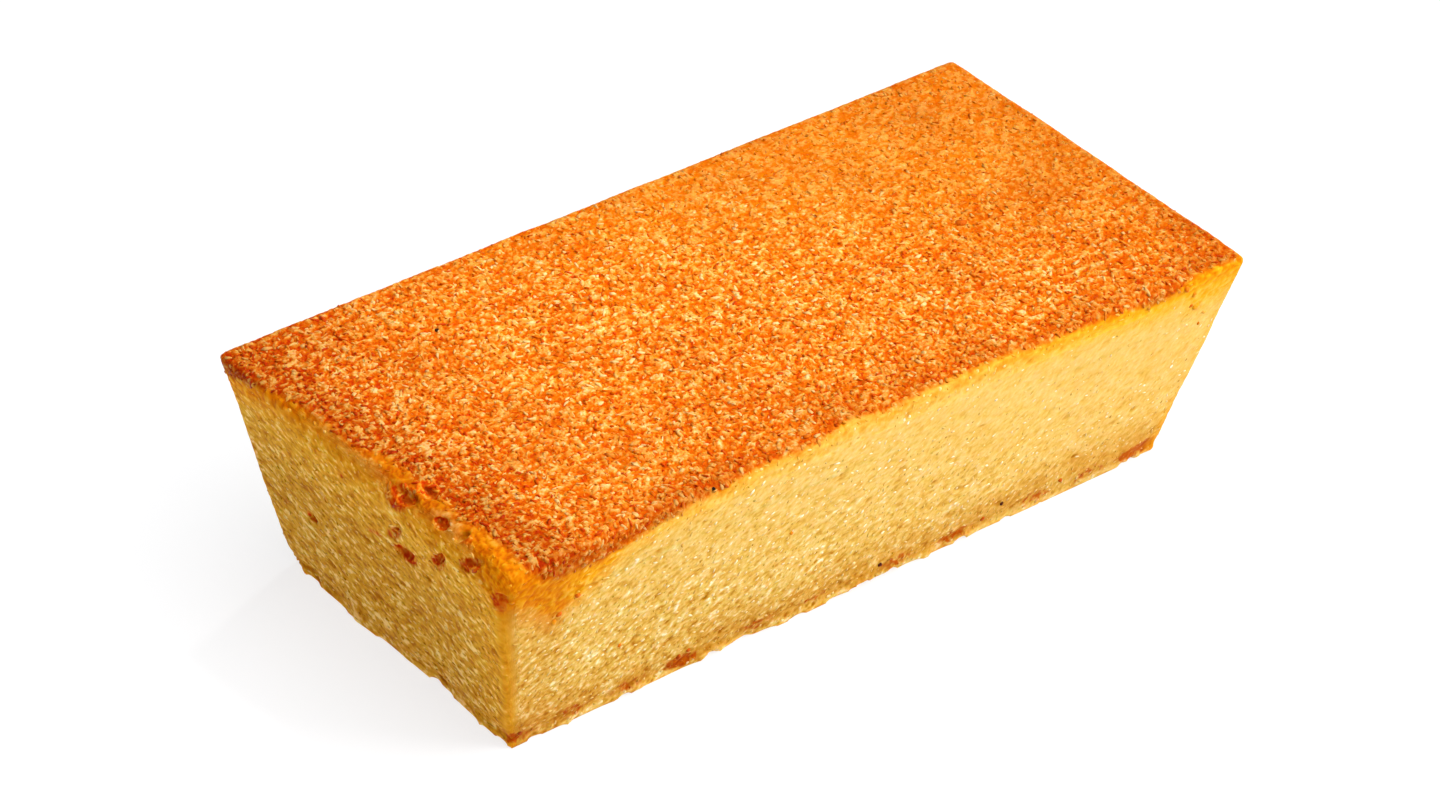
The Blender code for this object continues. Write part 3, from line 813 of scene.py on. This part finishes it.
def grain_tree(name, lump):
    """Geometry nodes that set lumps on a marked skin and give each its own size, turn and tone."""
    tree = bpy.data.node_groups.new(name, "GeometryNodeTree")
    tree.interface.new_socket("Geometry", in_out="INPUT", socket_type="NodeSocketGeometry")
    for name in ("Crust From", "Crust To", "Amber Share", "Calm Share", "Spacing", "Shortest", "Longest", "Narrowest", "Widest",
                 "Sink", "Turn", "End Order", "Lumpiness", "Kind From", "Kind To", "Darkest", "Lightest", "Lowest Place"):
        tree.interface.new_socket(name, in_out="INPUT", socket_type="NodeSocketFloat")
    tree.interface.new_socket("Seed", in_out="INPUT", socket_type="NodeSocketInt")
    tree.interface.new_socket("Material", in_out="INPUT", socket_type="NodeSocketMaterial")
    tree.interface.new_socket("Geometry", in_out="OUTPUT", socket_type="NodeSocketGeometry")
    given = add_node(tree, "NodeGroupInput").outputs
    place = add_node(tree, "GeometryNodeInputPosition").outputs[0]

    def draw(low, high, offset):
        """A random number for each grain."""
        seed = sum_of(tree, "ADD", given["Seed"], float(offset))
        made = add_node(tree, "FunctionNodeRandomValue", {2: low, 3: high, 8: seed}, data_type="FLOAT")
        return made.outputs[1]

    # Seats of the grains, a little under the surface
    share = named(tree, "crust")
    above = sum_of(tree, "GREATER_THAN", share, given["Crust From"])
    below = sum_of(tree, "LESS_THAN", share, given["Crust To"])
    up = add_node(tree, "ShaderNodeSeparateXYZ", {0: place}).outputs[2]
    off_table = sum_of(tree, "GREATER_THAN", up, given["Lowest Place"])
    chosen = sum_of(tree, "MULTIPLY", sum_of(tree, "MULTIPLY", above, below), off_table)
    chosen = sum_of(tree, "MULTIPLY", chosen, sum_of(tree, "LESS_THAN", named(tree, "bare"), 0.5))
    crowd = sum_of(tree, "DIVIDE", 5.0, sum_of(tree, "POWER", given["Spacing"], 2.0))
    strewn = add_node(tree, "GeometryNodeDistributePointsOnFaces", {
        "Mesh": given["Geometry"],
        "Selection": chosen,
        "Distance Min": given["Spacing"],
        "Density Max": crowd,
        "Seed": given["Seed"],
    }, distribute_method="POISSON")
    sunk = add_node(tree, "ShaderNodeVectorMath", {
        0: strewn.outputs["Normal"],
        "Scale": sum_of(tree, "MULTIPLY", given["Sink"], -1.0),
    }, operation="SCALE").outputs[0]
    seats = add_node(tree, "GeometryNodeSetPosition", {"Geometry": strewn.outputs["Points"], "Offset": sunk})

    # One grain: a round lump that remembers how high each of its points stands
    if lump == "grain":
        cube = add_node(tree, "GeometryNodeMeshCube", {
            "Size": (2.0, 2.0, 2.0), "Vertices X": 3, "Vertices Y": 3, "Vertices Z": 3,
        })
        ball = add_node(tree, "ShaderNodeVectorMath", {0: place}, operation="NORMALIZE").outputs[0]
        shape = add_node(tree, "GeometryNodeSetPosition", {"Geometry": cube.outputs["Mesh"], "Position": ball})
    else:
        shape = add_node(tree, "GeometryNodeMeshIcoSphere", {"Radius": 1.0, "Subdivisions": 1})
    smooth = add_node(tree, "GeometryNodeSetShadeSmooth", {"Geometry": shape.outputs[0]})
    height = add_node(tree, "ShaderNodeSeparateXYZ", {0: place}).outputs[2]
    measured = add_node(tree, "GeometryNodeStoreNamedAttribute", {
        "Geometry": smooth.outputs[0], "Name": "height", "Value": height,
    }, data_type="FLOAT", domain="POINT")

    # Grains of this kind alone, each turned and sized by lot, and fewer where the crumb is soaked
    kind = draw(0.0, 1.0, 0)
    is_kind = sum_of(tree, "MULTIPLY", sum_of(tree, "GREATER_THAN", kind, given["Kind From"]),
                     sum_of(tree, "LESS_THAN", kind, given["Kind To"]))
    open_crumb = sum_of(tree, "SUBTRACT", 1.0, sum_of(tree, "MULTIPLY", named(tree, "amber"), given["Amber Share"]))
    is_kind = sum_of(tree, "MULTIPLY", is_kind, sum_of(tree, "LESS_THAN", draw(0.0, 1.0, 8), open_crumb))
    crowded = sum_of(tree, "ADD", named(tree, "contrast"), given["Calm Share"])
    is_kind = sum_of(tree, "MULTIPLY", is_kind, sum_of(tree, "LESS_THAN", draw(0.0, 1.0, 9), crowded))
    lengthwise = add_node(tree, "FunctionNodeAlignRotationToVector", {
        "Rotation": strewn.outputs["Rotation"],
        "Vector": drawn_along(tree, strewn.outputs["Normal"]),
    }, axis="X", pivot_axis="Z")
    spin = add_node(tree, "ShaderNodeCombineXYZ", {
        0: draw(-0.35, 0.35, 1),
        1: draw(-0.35, 0.35, 2),
        2: sum_of(tree, "MULTIPLY", draw(-1.0, 1.0, 3), sum_of(
            tree, "MULTIPLY", given["Turn"], sum_of(tree, "SUBTRACT", 1.0, sum_of(
                tree, "MULTIPLY", named(tree, "end"), given["End Order"])))),
    }).outputs[0]
    turned = add_node(tree, "FunctionNodeRotateRotation", {
        0: lengthwise.outputs[0],
        1: add_node(tree, "FunctionNodeEulerToRotation", {0: spin}).outputs[0],
    }, rotation_space="LOCAL")
    flatness = sum_of(tree, "SUBTRACT", 0.72, sum_of(tree, "MULTIPLY", named(tree, "calm"), 0.34))
    size = add_node(tree, "ShaderNodeCombineXYZ", {
        0: draw(given["Shortest"], given["Longest"], 4),
        1: draw(given["Narrowest"], given["Widest"], 5),
        2: sum_of(tree, "MULTIPLY", draw(given["Narrowest"], given["Widest"], 6), flatness),
    }).outputs[0]
    grains = add_node(tree, "GeometryNodeInstanceOnPoints", {
        "Points": seats.outputs[0],
        "Selection": is_kind,
        "Instance": measured.outputs[0],
        "Rotation": turned.outputs[0],
        "Scale": size,
    })
    toned = add_node(tree, "GeometryNodeStoreNamedAttribute", {
        "Geometry": grains.outputs[0],
        "Name": "tone",
        "Value": draw(given["Darkest"], given["Lightest"], 7),
    }, data_type="FLOAT", domain="INSTANCE")
    real = add_node(tree, "GeometryNodeRealizeInstances", {"Geometry": toned.outputs[0]})

    # Each grain pushed out of round in its own way
    push = add_node(tree, "ShaderNodeTexNoise", {"Vector": place, "Scale": 1.0 / (0.4 * MM), "Detail": 0.0})
    even = add_node(tree, "ShaderNodeVectorMath", {0: push.outputs["Color"], 1: (0.5, 0.5, 0.5)},
                    operation="SUBTRACT").outputs[0]
    shift = add_node(tree, "ShaderNodeVectorMath", {
        0: even, "Scale": sum_of(tree, "MULTIPLY", given["Lumpiness"], 4.0),
    }, operation="SCALE").outputs[0]
    uneven = add_node(tree, "GeometryNodeSetPosition", {"Geometry": real.outputs[0], "Offset": shift})
    finished = add_node(tree, "GeometryNodeSetMaterial", {
        "Geometry": uneven.outputs[0], "Material": given["Material"],
    })
    add_node(tree, "NodeGroupOutput", {"Geometry": finished.outputs[0]})
    return tree


def grain_material(name, roughness, specular, own_contrast, painted_shade_depth):
    """Finish of the grains: their own tone, the browning of the place they sit in, and painted shade on their low
    sides.
    """
    material = bpy.data.materials.new(name)
    material.use_nodes = True
    tree = material.node_tree
    shader = tree.nodes["Principled BSDF"]
    place = add_node(tree, "ShaderNodeTexCoord").outputs["Object"]
    mottle = noise(tree, place, 0.30 * MM)
    varied = sum_of(tree, "MULTIPLY", sum_of(tree, "SUBTRACT", mottle, 0.5), 0.4)
    # Painted shade: each grain darker towards its low side, where it meets the cake
    painted_low_shade = sum_of(tree, "MULTIPLY", eased(tree, marked(tree, "height"), 0.75, -0.2), painted_shade_depth)
    tone = sum_of(tree, "SUBTRACT", sum_of(tree, "ADD", marked(tree, "tone"), varied), painted_low_shade, clamp=True)
    contrast = own_contrast or marked(tree, "contrast")
    tree.links.new(baked_colour(tree, tone, contrast, place), shader.inputs["Base Color"])
    bump = add_node(tree, "ShaderNodeBump", {"Height": mottle, "Distance": 0.05 * MM, "Strength": 1.0}).outputs[0]
    tree.links.new(bump, shader.inputs["Normal"])
    shader.inputs["Roughness"].default_value = roughness
    shader.inputs["Specular IOR Level"].default_value = specular
    shader.inputs["Specular Tint"].default_value = SHINE_TINT
    return material


GRAIN_TREE = grain_tree("semolina_grains", "grain")
FLAKE_TREE = grain_tree("semolina_flakes", "flake")


def scatter(name, skin, tree, material, values):
    """A piece of lumps of one kind, set on a skin and made a plain mesh."""
    grains = bpy.data.objects.new(name, skin.data.copy())
    bpy.context.scene.collection.objects.link(grains)
    use_tree(grains, tree, {**values, "Material": material})
    settle(grains)
    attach(grains, BODY)


GRAIN_SIZES = {
    "Spacing": GRAIN_SPACING,
    "Shortest": GRAIN_LENGTH[0],
    "Longest": GRAIN_LENGTH[1],
    "Narrowest": GRAIN_WIDTH[0],
    "Widest": GRAIN_WIDTH[1],
    "Sink": GRAIN_SINK,
}
FLAKE_SIZES = {
    "Spacing": FLAKE_SPACING,
    "Shortest": FLAKE_LENGTH[0],
    "Longest": FLAKE_LENGTH[1],
    "Narrowest": FLAKE_WIDTH[0],
    "Widest": FLAKE_WIDTH[1],
    "Sink": FLAKE_SINK,
}
crust_grain_finish = grain_material("crust_grain", 0.36, 0.10, None, 0.38)
# The pale flakes are partly pale grains and partly glints of the syrup: painted highlights
for name, tree, sizes, seed, kind_from, kind_to, darkest, lightest in (
    ("crust_grains", GRAIN_TREE, GRAIN_SIZES, CRUST_SEED, 0.0, 1.0, 0.25, 1.00),
    ("browned_flakes", FLAKE_TREE, FLAKE_SIZES, CRUST_SEED + 30, 0.0, 0.34, 0.08, 0.40),
    ("golden_flakes", FLAKE_TREE, FLAKE_SIZES, CRUST_SEED + 30, 0.34, 0.80, 0.46, 0.76),
    ("pale_flakes_and_painted_glints", FLAKE_TREE, FLAKE_SIZES, CRUST_SEED + 30, 0.80, 1.0, 0.76, 1.08),
):
    scatter(name, crust_part, tree, crust_grain_finish, {
        **sizes,
        "Crust From": 0.5,
        "Crust To": 2.0,
        "Amber Share": 0.0,
        "Calm Share": 1.0,
        "Turn": math.pi,
        "End Order": 0.0,
        "Lumpiness": LUMPINESS,
        "Kind From": kind_from,
        "Kind To": kind_to,
        "Darkest": darkest,
        "Lightest": lightest,
        "Lowest Place": 0.5 * MM,
        "Seed": seed,
    })


# Grains of the crumb
# The same semolina, unbrowned and full of syrup, in the four sides below the crust. The grains lie
# almost flush and are drawn out along the cut, so only their backs show.

CRUMB_GRAIN_SPACING = 0.74 * MM
CRUMB_GRAIN_LENGTH = (0.20 * MM, 0.48 * MM)
CRUMB_GRAIN_WIDTH = (0.11 * MM, 0.19 * MM)
CRUMB_GRAIN_SINK = 0.05 * MM
CRUMB_GRAIN_TURN = 0.9
CRUMB_SEED = 23

crumb_grain_finish = grain_material("crumb_grain", 0.32, 0.12, 1.0, 0.12)
# The palest of these grains are partly pale crumb and partly glints of the syrup: painted highlights
for name, skin in (("upper_crumb_grains", crust_part), ("lower_crumb_grains", crumb_part)):
    scatter(name, skin, FLAKE_TREE, crumb_grain_finish, {
        "Crust From": -1.0,
        "Crust To": 0.5,
        "Amber Share": 0.80,
        "Calm Share": -0.15,
        "Spacing": CRUMB_GRAIN_SPACING,
        "Shortest": CRUMB_GRAIN_LENGTH[0],
        "Longest": CRUMB_GRAIN_LENGTH[1],
        "Narrowest": CRUMB_GRAIN_WIDTH[0],
        "Widest": CRUMB_GRAIN_WIDTH[1],
        "Sink": CRUMB_GRAIN_SINK,
        "Turn": CRUMB_GRAIN_TURN,
        "End Order": 0.75,
        "Lumpiness": LUMPINESS * 0.5,
        "Kind From": 0.0,
        "Kind To": 1.0,
        "Darkest": 0.32,
        "Lightest": 1.08,
        "Lowest Place": 0.8 * MM,
        "Seed": CRUMB_SEED,
    })


# Flecks and crumbs
# Specks of char in the crust, browned crumbs that stick in the sides, and pale ones by the foot, where
# the photograph shows them. Each is a small uneven lump, sunk a little into the cake.

# Place on the cake (x, y, z), size in mm and how dark, from 0 for a pale crumb to 1 for char
FLECKS = (
    (-29.3, 14.3, 26.2, 0.60, 1.0),
    (-22.9, -23.6, 25.8, 0.60, 1.0),
    (29.0, -1.6, 26.1, 1.20, 0.70),
    (37.7, -13.7, 26.3, 0.60, 0.66),
    (36.7, -16.4, 26.2, 0.60, 0.66),
    (37.6, -20.2, 26.2, 0.75, 0.64),
    (39.8, -19.6, 26.2, 0.70, 0.70),
    (41.5, -24.1, 25.2, 0.9, 0.60),
    (42.8, -23.9, 24.0, 0.8, 0.55),
    (43.7, -23.4, 21.9, 1.0, 0.45),
    (45.4, -23.0, 20.4, 0.8, 0.40),
    (-39.6, -23.0, 19.6, 0.75, 0.65),
    (-41.7, -22.6, 18.0, 0.75, 0.65),
    (-42.2, -22.4, 17.1, 0.70, 0.50),
    (-10.6, -22.2, 14.1, 0.60, 0.55),
    (-32.1, -20.8, 8.6, 0.55, 0.60),
    (-23.0, -19.6, 2.2, 0.80, 0.78),
    (-21.8, -19.7, 2.6, 0.60, 0.72),
    (43.0, -23.0, 22.4, 0.50, 0.65),
    (45.1, -22.6, 18.8, 0.50, 0.60),
    (4.2, -19.5, 2.3, 0.60, 0.95),
    (18.8, -19.5, 2.0, 0.70, 0.75),
    (21.2, -19.6, 3.1, 0.55, 0.95),
    (29.9, -19.5, 2.4, 0.70, 0.70),
    (-43.8, -20.2, 1.8, 0.55, 0.85),
)
FLECK_SEED = 11


def on_skin(places, skins):
    """The nearest points on the cake's surface to some places."""
    found = []
    for place in places:
        best = None
        for skin in skins:
            hit, spot, normal, _ = skin.closest_point_on_mesh(place)
            if hit and (best is None or (spot - place).length < (best[0] - place).length):
                best = (spot, normal)
        found.append(best)
    return found


def fleck_material():
    """Char, browned crumb or pale crumb, by the mark on each lump."""
    material = bpy.data.materials.new("flecks")
    material.use_nodes = True
    tree = material.node_tree
    shader = tree.nodes["Principled BSDF"]
    place = add_node(tree, "ShaderNodeTexCoord").outputs["Object"]
    mottle = noise(tree, place, 0.25 * MM, 1.0)
    varied = sum_of(tree, "MULTIPLY", sum_of(tree, "SUBTRACT", mottle, 0.5), 0.25)
    darkness = sum_of(tree, "ADD", marked(tree, "char"), varied, clamp=True)
    ramp = add_node(tree, "ShaderNodeValToRGB", {0: darkness})
    stops = ramp.color_ramp.elements
    stops[0].color = (0.96, 0.80, 0.42, 1)
    stops[1].color = (0.012, 0.008, 0.006, 1)
    for position, colour in ((0.45, (0.80, 0.33, 0.010, 1)), (0.65, (0.66, 0.12, 0.002, 1)),
                             (0.85, (0.26, 0.030, 0.002, 1))):
        stops.new(position).color = colour
    tree.links.new(ramp.outputs[0], shader.inputs["Base Color"])
    bump = add_node(tree, "ShaderNodeBump", {"Height": mottle, "Distance": 0.05 * MM, "Strength": 1.0}).outputs[0]
    tree.links.new(bump, shader.inputs["Normal"])
    shader.inputs["Roughness"].default_value = 0.45
    shader.inputs["Specular IOR Level"].default_value = 0.05
    return material


def flecks(name):
    """All the flecks as one piece."""
    lot = np.random.default_rng(FLECK_SEED)
    net = bmesh.new()
    char = net.verts.layers.float.new("char")
    spots = on_skin([Vector(fleck[:3]) * MM for fleck in FLECKS], (crust_part, crumb_part))
    for (_, _, _, size, darkness), (spot, normal) in zip(FLECKS, spots):
        turn = normal.to_track_quat("Z", "Y") @ Matrix.Rotation(lot.uniform(0, math.tau), 3, "Z").to_quaternion()
        made = bmesh.ops.create_icosphere(net, subdivisions=2, radius=1.0)["verts"]
        half = Vector((lot.uniform(0.42, 0.62), lot.uniform(0.34, 0.46), 0.28)) * size * MM
        for point in made:
            ray = point.co.normalized()
            swell = 1.0 + 0.22 * math.sin(5.0 * ray.x + lot.uniform(0, 0.3)) * math.cos(4.0 * ray.y + 2.0 * ray.z)
            shaped = Vector((ray.x * half.x, ray.y * half.y, ray.z * half.z)) * swell
            point.co = spot + turn @ shaped
            point[char] = darkness
    mesh = bpy.data.meshes.new(name)
    net.to_mesh(mesh)
    net.free()
    for face in mesh.polygons:
        face.use_smooth = True
    mesh.materials.append(fleck_material())
    piece = bpy.data.objects.new(name, mesh)
    bpy.context.scene.collection.objects.link(piece)
    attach(piece, BODY)


flecks("flecks")


# The studio
# A plain pale floor under a broad soft light from above, with a key light at the front right and a weak
# fill at the left. A small light at the back right gives the syrup its glints.

FLOOR_SIZE = 6.0
FLOOR_COLOUR = (0.25, 0.25, 0.25, 1.0)
FLOOR_GLOW = 0.755
SKY_COLOUR = (1.0, 1.0, 1.0, 1.0)
SKY_STRENGTH = 0.12
LIGHTS = (
    # name, place, width, watts
    ("overhead_light", (0.15, -0.30, 0.95), 1.20, 14.5),
    ("key_light", (0.52, -0.56, 0.46), 0.40, 6.0),
    ("glint_light", (0.30, 0.36, 0.75), 0.05, 1.4),
    ("left_fill_light", (-0.75, 0.05, 0.30), 0.50, 0.8),
)


def floor():
    """The plain surface that the bar stands on."""
    mesh = bpy.data.meshes.new("pale_floor")
    half = FLOOR_SIZE / 2
    corners = [(-half, -half, 0.0), (half, -half, 0.0), (half, half, 0.0), (-half, half, 0.0)]
    mesh.from_pydata(corners, [], [(0, 1, 2, 3)])
    thing = bpy.data.objects.new("pale_floor", mesh)
    bpy.context.scene.collection.objects.link(thing)
    material = bpy.data.materials.new("pale_floor")
    material.use_nodes = True
    shader = material.node_tree.nodes["Principled BSDF"]
    shader.inputs["Base Color"].default_value = FLOOR_COLOUR
    shader.inputs["Roughness"].default_value = 0.9
    shader.inputs["Specular IOR Level"].default_value = 0.1
    shader.inputs["Emission Color"].default_value = (0.975, 0.985, 1.0, 1.0)
    shader.inputs["Emission Strength"].default_value = FLOOR_GLOW
    mesh.materials.append(material)


def area_light(name, place, width, watts):
    """A square light that faces the middle of the bar."""
    lamp = bpy.data.lights.new(name, "AREA")
    lamp.size = width
    lamp.energy = watts
    thing = bpy.data.objects.new(name, lamp)
    thing.location = place
    thing.rotation_mode = "QUATERNION"
    thing.rotation_quaternion = (VIEW_AIM - Vector(place)).to_track_quat("-Z", "Y")
    bpy.context.scene.collection.objects.link(thing)


def sky():
    """White light from all round."""
    world = bpy.data.worlds.new("white_sky")
    world.use_nodes = True
    back = world.node_tree.nodes["Background"]
    back.inputs["Color"].default_value = SKY_COLOUR
    back.inputs["Strength"].default_value = SKY_STRENGTH
    bpy.context.scene.world = world


floor()
for name, place, width, watts in LIGHTS:
    area_light(name, place, width, watts)
sky()
bpy.context.scene.view_settings.view_transform = "Standard"
